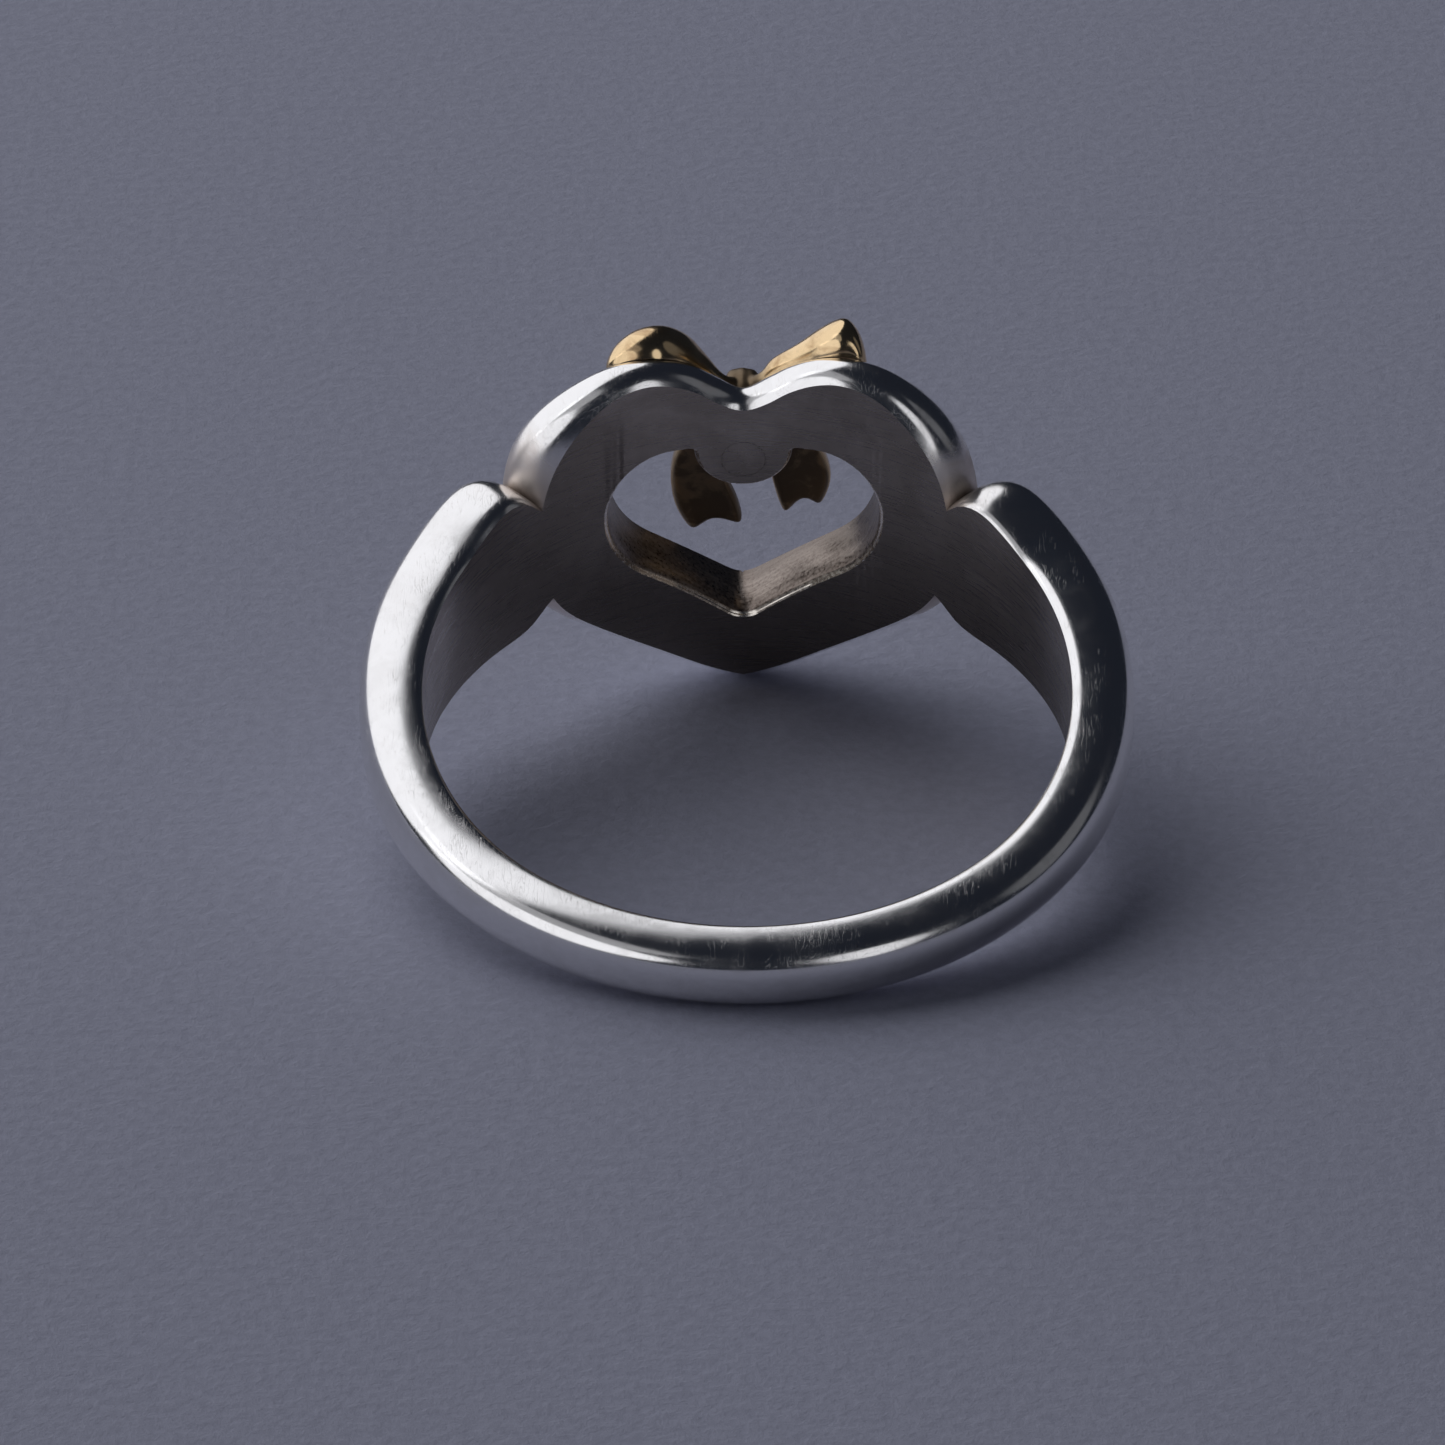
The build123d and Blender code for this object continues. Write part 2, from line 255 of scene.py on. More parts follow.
def finishMetal(tree, shader, colour, rough, normal):
    tree.links.new(colour, shader.inputs["Base Color"])
    tree.links.new(rough, shader.inputs["Roughness"])
    tree.links.new(normal, shader.inputs["Normal"])
    shader.inputs["Metallic"].default_value = 1


silverFinish = {
    "colour": (0.93, 0.92, 0.91, 1),
    "tarnish": (0.30, 0.24, 0.20, 1),
    "smear": (0.84, 0.825, 0.81, 1),
    "dull": (0.78, 0.70, 0.64, 1),    # on the lobes beside the seams, where no cloth rubs
    "smearing": 0.6,                  # how much of the smear's colour the smudges take
    "scratchDirt": 0.28,              # and of the tarnish's, the scratches
    "roughness": 0.15,
    "smudged": 0.07,                  # more roughness in the smudges
    "scratched": 0.04,                # in the scratches
    "stained": 0.25,                  # in the tarnish
    "dulled": 0.26,                   # and where it is dull
    "stainFrom": (0.86, 1.0),         # the tarnish comes in as the seam comes near
    "dullFrom": (0.05, 0.85),         # and the dullness, with ragged edges
    "dullNear": (0.0, 0.3),
    "dullAside": (0.85, 0.94),        # sideways over forwards: past the lobes it fades
    "dullShoulders": 0.15,            # to this much
    "scratchDepth": 0.0000007,
    "waveDepth": 0.000004,
    "pitDepth": 0.000006,
    "scratches": {"Fineness": 8.0, "Width": 0.006, "Patches": 0.54},
    "handling": {"Size": 1.3},
    "pits": {"Number": 1.3, "Radius": 0.055, "Share": 0.4},
}


def polishedSilver():
    # worn mirror polish: scratches, smudges and tarnish where the forms meet
    mat, tree, shader = newMaterial("polishedSilver")
    place = ringPlace(tree)
    lines, smudges, waves, holes = wearOf(tree, place, silverFinish)
    groove = addNode(tree, "ShaderNodeAttribute", attribute_name="groove").outputs["Fac"]
    patchy = fade(tree, smudges, 0.0, 0.8, 0.45, 1.0)
    stain = multiply(tree, fade(tree, groove, *silverFinish["stainFrom"]), patchy)
    split = addNode(tree, "ShaderNodeSeparateXYZ", {"Vector": place}).outputs
    aside = calculate(tree, "ABSOLUTE", calculate(tree, "DIVIDE", split["X"], split["Y"]))
    lobes = fade(tree, aside, *silverFinish["dullAside"], 1.0, silverFinish["dullShoulders"])
    reach = more(tree, groove, smudges, 0.25)
    dull = multiply(tree, fade(tree, reach, *silverFinish["dullFrom"]), lobes)
    dull = multiply(tree, dull, fade(tree, groove, *silverFinish["dullNear"]))
    smear = multiply(tree, smudges, silverFinish["smearing"])
    colour = blend(tree, smear, silverFinish["colour"], silverFinish["smear"])
    colour = blend(tree, dull, colour, silverFinish["dull"])
    dirt = calculate(tree, "MAXIMUM", stain, holes)
    dirt = calculate(tree, "MAXIMUM", multiply(tree, lines, silverFinish["scratchDirt"]), dirt)
    colour = blend(tree, dirt, colour, silverFinish["tarnish"])
    rough = more(tree, silverFinish["roughness"], smudges, silverFinish["smudged"])
    rough = more(tree, rough, lines, silverFinish["scratched"])
    rough = more(tree, rough, stain, silverFinish["stained"])
    rough = more(tree, rough, dull, silverFinish["dulled"])
    normal = raised(tree, waves, silverFinish["waveDepth"])
    normal = raised(tree, inverse(tree, holes), silverFinish["pitDepth"], normal)
    normal = raised(tree, inverse(tree, lines), silverFinish["scratchDepth"], normal)
    finishMetal(tree, shader, colour, rough, normal)
    return mat


boreFinish = {
    "dark": (0.54, 0.48, 0.42, 1),
    "light": (0.69, 0.62, 0.55, 1),
    "low": (0.215, 0.19, 0.17, 1),
    "paintedShadeHeight": (-3.6, 3.4),         # painted shade: darker towards the lower end, where the bore faces the shaded floor
    "paintedShadeShare": 0.9,
    "roughness": (0.25, 0.32),
    "scratched": -0.04,               # less roughness in the scratches
    "brushDepth": 0.0000005,
    "scratchShare": -0.5,             # how deep a scratch is, in brush depths
    "pitShare": -4.0,                 # and a pit
    "scratches": {"Fineness": 5.0, "Width": 0.010, "Patches": 0.52},
    "handling": {"Size": 2.2},
    "pits": {"Number": 1.1, "Radius": 0.06, "Share": 0.35},
    "boreBrushing": (0.7, 0.7, 14.0),
    "rivetBrushing": (1.2, 1.2, 9.0),
}


def satinSilver(name, brushing):
    # brushed inside: fine lines round the bore, faint cloudiness, a few pits, and painted shade towards
    # the lower end
    mat, tree, shader = newMaterial(name)
    place = ringPlace(tree)
    brush = noise(tree, mapped(tree, place, brushing), 1.0, 3.0)
    lines, smudges, _, holes = wearOf(tree, place, boreFinish)
    colour = blend(tree, smudges, boreFinish["dark"], boreFinish["light"])
    height = addNode(tree, "ShaderNodeSeparateXYZ", {"Vector": place}).outputs["Z"]
    # painted shade: the low colour is blended in towards the lower end
    low = fade(tree, height, *boreFinish["paintedShadeHeight"], boreFinish["paintedShadeShare"], 0.0)
    colour = blend(tree, low, colour, boreFinish["low"])
    colour = blend(tree, holes, colour, silverFinish["tarnish"])
    rough = fade(tree, brush, 0.25, 0.75, *boreFinish["roughness"])
    rough = more(tree, rough, lines, boreFinish["scratched"])
    relief = more(tree, brush, lines, boreFinish["scratchShare"])
    relief = more(tree, relief, holes, boreFinish["pitShare"])
    finishMetal(tree, shader, colour, rough, raised(tree, relief, boreFinish["brushDepth"]))
    return mat


castFinish = {
    "dark": (0.185, 0.15, 0.13, 1),
    "light": (0.47, 0.40, 0.35, 1),
    "rubbed": (0.84, 0.78, 0.70, 1),
    "rubbedTo": (8.33, 8.38),         # from the bore's axis: the lip is rubbed bright
    "darkFrom": (9.0, 10.0),          # and the wall darkens towards the front
    "darkShare": 0.7,
    "roughness": (0.26, 0.42),
    "smoothed": -0.1,                 # less roughness where it is rubbed
    "grainDepth": 0.000005,
    "streaking": (0.5, 7.0, 0.6),
    "pits": {"Number": 4.0, "Radius": 0.12, "Share": 0.4},
}


def castSilver():
    # the opening's wall, left as it was cast: grainy, warm and streaked along the wall
    mat, tree, shader = newMaterial("castSilver")
    place = ringPlace(tree)
    streaks = noise(tree, mapped(tree, place, castFinish["streaking"]), 1.6, 4.0, 0.6)
    grain = noise(tree, place, 11.0, 5.0)
    tone = calculate(tree, "ADD", multiply(tree, streaks, 0.4), multiply(tree, grain, 0.6))
    holes = useGroup(tree, pits, place, castFinish["pits"])["Pits"]
    colour = blend(tree, fade(tree, tone, 0.34, 0.68), castFinish["dark"], castFinish["light"])
    colour = blend(tree, holes, colour, silverFinish["tarnish"])
    flat = addNode(tree, "ShaderNodeVectorMath", {0: place, 1: (1, 1, 0)}, operation="MULTIPLY")
    length = addNode(tree, "ShaderNodeVectorMath", {0: flat.outputs[0]}, operation="LENGTH")
    away = length.outputs["Value"]
    darker = fade(tree, away, *castFinish["darkFrom"], 0.0, castFinish["darkShare"])
    colour = blend(tree, darker, colour, castFinish["dark"])
    rubbed = fade(tree, away, *castFinish["rubbedTo"], 1.0, 0.0)
    colour = blend(tree, rubbed, colour, castFinish["rubbed"])
    rough = fade(tree, grain, 0.3, 0.7, *castFinish["roughness"])
    rough = more(tree, rough, rubbed, castFinish["smoothed"])
    relief = more(tree, calculate(tree, "SUBTRACT", grain, holes), streaks, 0.7)
    relief = multiply(tree, relief, calculate(tree, "SUBTRACT", 1.05, rubbed))
    finishMetal(tree, shader, colour, rough, raised(tree, relief, castFinish["grainDepth"]))
    return mat


goldFinish = {
    "colour": (0.87, 0.65, 0.38, 1),
    "smear": (0.52, 0.35, 0.19, 1),
    # the tarnish's brown, also used as painted shade on the tails' backs
    "tarnish": (0.11, 0.08, 0.055, 1),
    "roughness": 0.15,
    "smudged": 0.07,                  # more roughness in the smudges
    "scratched": 0.05,                # in the scratches
    "stained": 0.28,                  # and in the tarnish, the knot's darkening and the painted shade on the tails' backs
    "tailBack": (10.12, 10.24),       # painted shade on the tails' backs, which are nearer the bore's axis than this
    "tailTop": (2.5, 2.8),            # and lower than this
    "knotSide": (0.3, 0.8),           # across from the middle: the knot's darkening ends
    "knotDarkening": 0.86,
    "foldStain": 0.75,
    "waveDepth": 0.000003,
    "scratchDepth": 0.0000004,
    "scratches": {"Fineness": 5.0, "Width": 0.008, "Patches": 0.56},
    "handling": {"Size": 0.8},
    "pits": {"Number": 2.2, "Radius": 0.08, "Share": 0.3},
}


def wornGold():
    # bright where it rubs and brown in the folds, with painted shade in the same brown on the tails'
    # backs
    mat, tree, shader = newMaterial("wornGold")
    place = ringPlace(tree)
    lines, smudges, waves, holes = wearOf(tree, place, goldFinish)
    split = addNode(tree, "ShaderNodeSeparateXYZ", {"Vector": place}).outputs
    # painted shade: the tails' backs, which face the bore, darken to the tarnish's brown
    back = fade(tree, split["Y"], *goldFinish["tailBack"], 1.0, 0.0)
    below = fade(tree, split["Z"], *goldFinish["tailTop"], 1.0, 0.0)
    shadedBacks = multiply(tree, back, below)
    shadedBacks = multiply(tree, shadedBacks, fade(tree, smudges, 0.0, 1.0, 0.95, 0.6))
    across = calculate(tree, "ABSOLUTE", split["X"])
    # darker across the knot, in the middle of the bow
    knot = fade(tree, across, *goldFinish["knotSide"], goldFinish["knotDarkening"], 0.0)
    groove = addNode(tree, "ShaderNodeAttribute", attribute_name="groove").outputs["Fac"]
    fold = calculate(tree, "MAXIMUM", multiply(tree, groove, goldFinish["foldStain"]), knot)
    # the stain holds the tarnish in the folds, the knot's darkening and the painted shade on the backs
    stain = calculate(tree, "MAXIMUM", fold, shadedBacks)
    colour = blend(tree, smudges, goldFinish["colour"], goldFinish["smear"])
    dirt = calculate(tree, "MAXIMUM", stain, holes)
    colour = blend(tree, dirt, colour, goldFinish["tarnish"])
    rough = more(tree, goldFinish["roughness"], smudges, goldFinish["smudged"])
    rough = more(tree, rough, lines, goldFinish["scratched"])
    rough = more(tree, rough, stain, goldFinish["stained"])
    normal = raised(tree, waves, goldFinish["waveDepth"])
    normal = raised(tree, inverse(tree, lines), goldFinish["scratchDepth"], normal)
    finishMetal(tree, shader, colour, rough, normal)
    return mat


paperFinish = {
    "dark": (0.48, 0.495, 0.63, 1),
    "light": (0.555, 0.57, 0.715, 1),
    "roughness": 0.92,
    "fibreDepth": 0.00005,
}


def palePaper():
    # the floor: plain pale card with a trace of fibre
    mat, tree, shader = newMaterial("palePaper")
    coords = addNode(tree, "ShaderNodeTexCoord").outputs["Object"]
    fibre = noise(tree, mapped(tree, coords, (1000, 1000, 1000)), 2.6, 5.0, 0.7)
    colour = blend(tree, fade(tree, fibre, 0.3, 0.7), paperFinish["dark"], paperFinish["light"])
    tree.links.new(colour, shader.inputs["Base Color"])
    tree.links.new(raised(tree, fibre, paperFinish["fibreDepth"]), shader.inputs["Normal"])
    shader.inputs["Roughness"].default_value = paperFinish["roughness"]
    return mat


silver, gold, cast = polishedSilver(), wornGold(), castSilver()
bore = satinSilver("satinBore", boreFinish["boreBrushing"])
pin = satinSilver("rivetSilver", boreFinish["rivetBrushing"])
ringFinishes = [silver, bore, cast]  # a face's material index picks one
print("finishes made")


# Mesh helpers

def arc(centre, radius, start, turn, steps):
    # points round an arc, start and turn in degrees, both ends included
    angles = [radians(start + turn * step / steps) for step in range(steps + 1)]
    return [(centre[0] + radius * cos(a), centre[1] + radius * sin(a)) for a in angles]


def between(rows, place):
    # a smooth row between the table's rows, at a place counted in rows
    last = len(rows) - 1
    first = min(int(place), last - 1)
    t = place - first
    picks = [rows[min(max(first + step, 0), last)] for step in (-1, 0, 1, 2)]
    mixed = []
    for a, b, c, d in zip(*picks):
        mixed.append(0.5 * (2 * b + (c - a) * t + (2 * a - 5 * b + 4 * c - d) * t**2
                            + (3 * b - a - 3 * c + d) * t**3))
    return mixed


def spread(rows, steps):
    # smooth rows through the table's rows, with so many steps from each one to the next
    count = (len(rows) - 1) * steps
    return [between(rows, (len(rows) - 1) * step / count) for step in range(count + 1)]


def bell(value, middle, width):
    # 1 at the middle, and less and less on both sides
    return exp(-((value - middle) / width) ** 2)


def addLoop(bm, places):
    made = bmesh.ops.create_circle(bm, segments=len(places), radius=1)
    for vert, place in zip(made["verts"], places):
        vert.co = place
    return list({edge for vert in made["verts"] for edge in vert.link_edges})


def bridge(bm, loops, closed=False):
    pairs = list(zip(loops, loops[1:]))
    if closed:
        pairs.append((loops[-1], loops[0]))
    for one, other in pairs:
        bmesh.ops.bridge_loops(bm, edges=one + other)


def finishMesh(bm, name, finish=0):
    bmesh.ops.holes_fill(bm, edges=[edge for edge in bm.edges if edge.is_boundary])
    bmesh.ops.recalc_face_normals(bm, faces=bm.faces)
    for face in bm.faces:
        face.smooth = True
        face.material_index = finish
    mesh = bpy.data.meshes.new(name)
    for mat in ringFinishes:
        mesh.materials.append(mat)
    bm.to_mesh(mesh)
    bm.free()
    piece = bpy.data.objects.new(name, mesh)
    bpy.context.scene.collection.objects.link(piece)
    return piece


def dress(piece, mat):
    # one finish for the whole piece
    piece.data.materials.clear()
    piece.data.materials.append(mat)


def subdivide(piece):
    mod = piece.modifiers.new("round", "SUBSURF")
    mod.levels = mod.render_levels = 1


def combine(piece, other, operation):
    mod = piece.modifiers.new(operation.lower(), "BOOLEAN")
    mod.operation, mod.object, mod.solver = operation, other, "EXACT"


def applyAll(piece):
    graph = bpy.context.evaluated_depsgraph_get()
    graph.update()
    done = bpy.data.meshes.new_from_object(piece.evaluated_get(graph))
    piece.modifiers.clear()
    piece.data = done


def drop(*pieces):
    for piece in pieces:
        bpy.data.objects.remove(piece)


def surfaceOf(piece):
    graph = bpy.context.evaluated_depsgraph_get()
    graph.update()
    return BVHTree.FromObject(piece, graph)


def markGrooves(piece, surfaces, reach):
    # how near each point is to the line where two forms meet, for the tarnish
    marks = piece.data.attributes.new("groove", "FLOAT", "POINT")
    for vert, mark in zip(piece.data.vertices, marks.data):
        apart = sorted(surface.find_nearest(vert.co)[3] for surface in surfaces)[1]
        mark.value = max(0.0, 1 - apart / reach)


# The silver ring
ring = {
    "boreRadius": 8.25,
    "core": 0.6,              # how far the sections reach inside the bore before it is cut
    "backWidth": 1.84,
    "backThickness": 1.42,
    "shoulderWidth": 4.3,
    "shoulderThickness": 2.25,
    "taperStart": 40.0,
    "taperEnd": 138.0,
    "backSquareness": 3.0,    # 2 would make the shank's outside an ellipse
    "shoulderSquareness": 3.5,
    "edgeShare": 0.21,        # of the thickness, the inner edges' radius
    "edgeLean": 0.7,          # of that radius, how far their centre is from the bore's face
    "shankSections": 92,
    "boreSegments": 256,
    "boreCutLength": 16.0,
    "grooveReach": 1.9,
    "sharpAngle": 34,         # degrees: a steeper edge stays crisp
    "shoulderLift": (0.16, 0.26),  # how much higher the upper half is, right and left
    "liftAt": (47.0, 9.0),    # its middle and width, in degrees from the heart
    # angle from the heart, share of the shoulder's width, of its thickness
    "shoulderRows": [
        (32.0, 0.50, 0.27),
        (36.0, 0.59, 0.30),
        (39.5, 0.76, 0.50),
        (41.7, 0.945, 0.885),
        (43.8, 0.99, 0.97),
        (49.0, 1.0, 0.985),
        (56.0, 0.96, 0.96),
    ],
}


def shankRow(angle):
    share = min(max((angle - ring["taperStart"]) / (ring["taperEnd"] - ring["taperStart"]), 0), 1)
    fall = (1 + cos(pi * share)) / 2
    width = ring["backWidth"] + (ring["shoulderWidth"] - ring["backWidth"]) * fall
    thickness = ring["backThickness"] + (ring["shoulderThickness"] - ring["backThickness"]) * fall**2
    rows = ring["shoulderRows"]
    if angle < rows[-2][0]:
        place = next(i for i, row in enumerate(rows) if row[0] > angle) - 1
        part = (angle - rows[place][0]) / (rows[place + 1][0] - rows[place][0])
        shares = between(rows, place + part)
        width, thickness = ring["shoulderWidth"] * shares[1], ring["shoulderThickness"] * shares[2]
    return width / 2, thickness


def shankOutline(half, thickness):
    # (distance from the bore's axis, height) round one section of the shank: a bore side with
    # rounded edges, and an outside between an ellipse and a box
    inner = ring["boreRadius"] - ring["core"]
    edge = ring["edgeShare"] * thickness
    edgeCentre = ring["boreRadius"] + edge * ring["edgeLean"]
    flat = half - edge
    reach = ring["boreRadius"] + thickness - edgeCentre
    extra = (thickness - ring["backThickness"]) / (ring["shoulderThickness"] - ring["backThickness"])
    squarer = ring["shoulderSquareness"] - ring["backSquareness"]
    squareness = 2 / (ring["backSquareness"] + squarer * extra)
    points = [(inner, flat), (inner, 0), (inner, -flat)]
    points += arc((edgeCentre, -flat), edge, 180, 90, 5)
    for x, z in arc((0, 0), 1, -90, 180, 24)[1:-1]:
        height = half * abs(z)**squareness
        points.append((edgeCentre + reach * x**squareness, height if z > 0 else -height))
    points += arc((edgeCentre, flat), edge, 90, 90, 5)
    return points


def makeShank():
    bm = bmesh.new()
    loops = []
    first = ring["shoulderRows"][0][0]
    for step in range(ring["shankSections"] + 1):
        angle = first + (360 - 2 * first) * step / ring["shankSections"]
        away = min(angle, 360 - angle)
        lift = 1 + ring["shoulderLift"][angle > 180] * bell(away, *ring["liftAt"])
        turn = radians(angle)
        loops.append(addLoop(bm, [(r * sin(turn), r * cos(turn), z * lift if z > 0 else z)
                                  for r, z in shankOutline(*shankRow(away))]))
    bridge(bm, loops)
    piece = finishMesh(bm, "shank")
    subdivide(piece)
    return piece


heart = {
    "width": 11.5,
    "lobeRise": 4.73,
    "pointDrop": 5.55,
    "thickness": 2.1,
    "openingThickness": 1.72,
    "bulge": 0.53,
    "bulgeHeight": 1.0,
    "wallLean": 0.6,          # how much less the walls spread than the bore's own radii
    "leftSwell": 0.25,        # the left lobe's lower side is fuller than the right one's
    "swellAt": (68, 30),      # where the wall faces this way, and how wide
    "wallFlatness": 2.1,      # higher brings the wall's round closer to the bore
    "lobeFlatness": 1.2,      # and so much more on the lobes' shoulders
    "lobeAt": (38, 22),       # where the wall faces this way, and how wide
    "wallSteps": (0.12, 0.2, 0.3, 0.42, 0.56, 0.72, 0.86, 1.0),
    "pointCrease": 0.7,
    "sectionsPerRow": 3,
    # the back edge from the notch over the right lobe to the point: across and rise as shares,
    # the way the wall faces, how far in the section runs, wall height, thickness at the opening
    "rows": [
        (-0.11, 0.813, 0.0, 1.38, 0.54, 1.0),
        (0.0, 0.757, 0.0, 1.36, 0.46, 1.0),
        (0.11, 0.813, 0.0, 1.38, 0.54, 1.0),
        (0.20, 0.895, 0.0, 1.36, 0.54, 1.0),
        (0.32, 0.969, 0.0, 1.34, 0.54, 1.0),
        (0.46, 1.0, 0.0, 1.36, 0.56, 1.0),
        (0.63, 0.945, 21.0, 1.33, 0.68, 1.0),
        (0.81, 0.775, 45.0, 1.26, 0.87, 1.0),
        (0.93, 0.575, 64.0, 1.26, 0.99, 1.0),
        (0.99, 0.335, 80.0, 1.26, 1.0, 1.0),
        (1.0, 0.085, 94.0, 1.26, 1.0, 1.0),
        (0.955, -0.175, 108.0, 1.26, 1.0, 1.0),
        (0.84, -0.388, 122.0, 1.20, 1.0, 0.96),
        (0.63, -0.597, 133.0, 1.14, 1.0, 0.92),
        (0.40, -0.78, 144.0, 1.10, 1.0, 0.92),
        (0.175, -0.93, 158.0, 1.06, 1.0, 0.95),
        (0.0, -1.0, 180.0, 1.05, 1.0, 1.0),
        (-0.175, -1.03, 200.0, 1.05, 1.0, 1.0),
    ],
}


def heightAt(radius, lean, inward):
    # how far out from the wall's foot a circle about the bore's axis lies, this far inward
    upright = ring["boreRadius"] * cos(lean)
    aside = ring["boreRadius"] * sin(lean) - inward
    return sqrt(radius**2 - aside**2) - upright


def heartSection(row, side, grow):
    # one section of the puffed wall, from inside the bore round the bulge to the opening
    across, rise, turn, reach, height, front = row
    angle = across * heart["width"] / 2 / ring["boreRadius"]
    lean = angle * heart["wallLean"]
    up = rise * (heart["lobeRise"] if rise > 0 else heart["pointDrop"])
    foot = Vector((ring["boreRadius"] * sin(angle), ring["boreRadius"] * cos(angle), up))
    out = Vector((sin(angle - lean), cos(angle - lean), 0))
    along = Vector((cos(angle - lean), -sin(angle - lean), 0))
    facing = along * sin(radians(turn)) + Vector((0, 0, cos(radians(turn))))
    bulge, middle = heart["bulge"] * height + grow, heart["bulgeHeight"] * height
    if side < 0:
        bulge += heart["leftSwell"] * bell(turn, *heart["swellAt"])
    top = heart["thickness"] * height + grow
    frontRadius = top - middle
    depth = reach * heart["thickness"]
    inward = depth * sin(radians(turn))
    frontEnd = heightAt(ring["boreRadius"] + heart["openingThickness"] * front + grow, lean, inward)
    innerEnd = heightAt(ring["boreRadius"] - ring["core"], lean, inward)
    wall = []
    flatness = heart["wallFlatness"] + heart["lobeFlatness"] * bell(turn, *heart["lobeAt"])
    for share in heart["wallSteps"]:
        wall.append((bulge * (1 - (1 - share)**flatness), middle * share))
    points = [(-ring["core"] * wall[0][0] / wall[0][1], -ring["core"])] + wall
    points += arc((bulge - frontRadius, middle), frontRadius, 0, 90, 8)[1:]
    # a curve that leaves the front level and ends at the opening's edge
    start = bulge - frontRadius
    steps = 7
    for step in range(1, steps + 1):
        share = step / steps
        points.append((start - (start + depth) * share, top + (frontEnd - top) * share**2))
    for step in range(1, 4):
        points.append((-depth, frontEnd + (innerEnd - frontEnd) * step / 3))
    shift = (points[0][0] + depth) / 4
    fall = points[0][1] - innerEnd
    points += [(-depth + shift * step, innerEnd + fall * step / 4) for step in (1, 2, 3)]
    places = [foot + facing * x + out * y for x, y in points]
    return [Vector((side * p.x, p.y, p.z)) for p in places]


def makeHeart(grow=0.0):
    bm = bmesh.new()
    crease = bm.edges.layers.float.new("crease_edge")
    rows = heart["rows"]
    gaps = len(rows) - 3
    count = gaps * heart["sectionsPerRow"]
    picks = [between(rows, 1 + gaps * step / count) for step in range(count + 1)]
    loops = [addLoop(bm, heartSection(row, 1, grow)) for row in picks]
    loops += [addLoop(bm, heartSection(row, -1, grow)) for row in picks[-2:0:-1]]
    for edge in loops[count]:
        edge[crease] = heart["pointCrease"]
    bridge(bm, loops, closed=True)
    piece = finishMesh(bm, "heart")
    subdivide(piece)
    return piece


opening = {
    "width": 7.1,
    "top": 2.35,
    "middle": 0.6,
    "drop": 3.6,
    "slope": 38.0,
    "webRadius": 1.24,
    "webRise": 2.27,
    "corner": 0.16,
    "pointRadius": 0.6,
    # how far out from the bore's axis, and how far the outline is widened there: a lip of two
    # small slopes at the bore, then a hollow wall that opens towards the front
    "flare": [(7.5, 0.66), (8.16, 0.13), (8.25, 0.08), (8.28, 0.045), (8.32, 0.037),
              (8.35, 0.002), (8.42, -0.03), (8.8, -0.065), (9.2, -0.08), (9.6, -0.06),
              (10.0, -0.015), (10.4, 0.06), (10.8, 0.18)],
}


def openingOutline():
    # (across, height) round the heart-shaped opening, seen from the front
    half = opening["width"] / 2
    steep = tan(radians(opening["slope"]))
    sideTurn = 90 - opening["slope"]
    across, down = 1 - cos(radians(sideTurn)), sin(radians(sideTurn))
    radius = (opening["middle"] + opening["drop"] - half * steep) / (down - across * steep)
    topRadius = opening["top"] - opening["middle"]
    start = (half - radius * across, opening["middle"] - radius * down)
    tip = opening["pointRadius"]
    tipCentre = (0, tip / cos(radians(opening["slope"])) - opening["drop"])
    points = arc(tipCentre, tip, -90, opening["slope"], 5)
    first = points[-1]
    for step in range(1, 7):
        points.append(tuple(a + (b - a) * step / 7 for a, b in zip(first, start)))
    points += arc((half - radius, opening["middle"]), radius, -sideTurn, sideTurn, 18)
    points += arc((half - topRadius, opening["middle"]), topRadius, 0, 90, 16)[1:]
    webEdge = sqrt(opening["webRadius"]**2 - (opening["top"] - opening["webRise"])**2)
    corner = opening["corner"]
    points += arc((webEdge + corner, opening["top"] - corner), corner, 90, 85, 4)
    webTurn = degrees(atan2(opening["top"] - corner - opening["webRise"], webEdge))
    points += arc((0, opening["webRise"]), opening["webRadius"], webTurn, -90 - webTurn, 10)
    return points + [(-x, z) for x, z in points[-2:0:-1]]


def widen(points, amount):
    # moves each point outwards, square to its neighbours
    moved = []
    for before, here, after in zip(points[-1:] + points[:-1], points, points[1:] + points[:1]):
        way = Vector((after[0] - before[0], after[1] - before[1])).normalized()
        moved.append((here[0] + way.y * amount, here[1] - way.x * amount))
    return moved


def makeOpeningCutter():
    bm = bmesh.new()
    outline = openingOutline()
    loops = []
    for radius, amount in opening["flare"]:
        ringed = widen(outline, amount)
        loops.append(addLoop(bm, [(x, sqrt(radius**2 - x**2), z) for x, z in ringed]))
    bridge(bm, loops)
    return finishMesh(bm, "openingCutter", finish=2)


def makeCylinder(name, radius, depth, segments, place, finish=0):
    bm = bmesh.new()
    bmesh.ops.create_cone(bm, cap_ends=True, segments=segments, radius1=radius, radius2=radius,
                          depth=depth, matrix=place)
    return finishMesh(bm, name, finish)


rivet = {
    "radius": 0.57,
    "gap": 0.012,
    "rise": 1.95,
    "cutMiddle": 10.0,        # from the bore's axis
    "cutLength": 8.0,
    "segments": 64,
}


def forwards(out, rise):
    # lays a cylinder along the way from the bore's axis to the heart
    return Matrix.Translation((0, out, rise)) @ Matrix.Rotation(pi / 2, 4, "X")


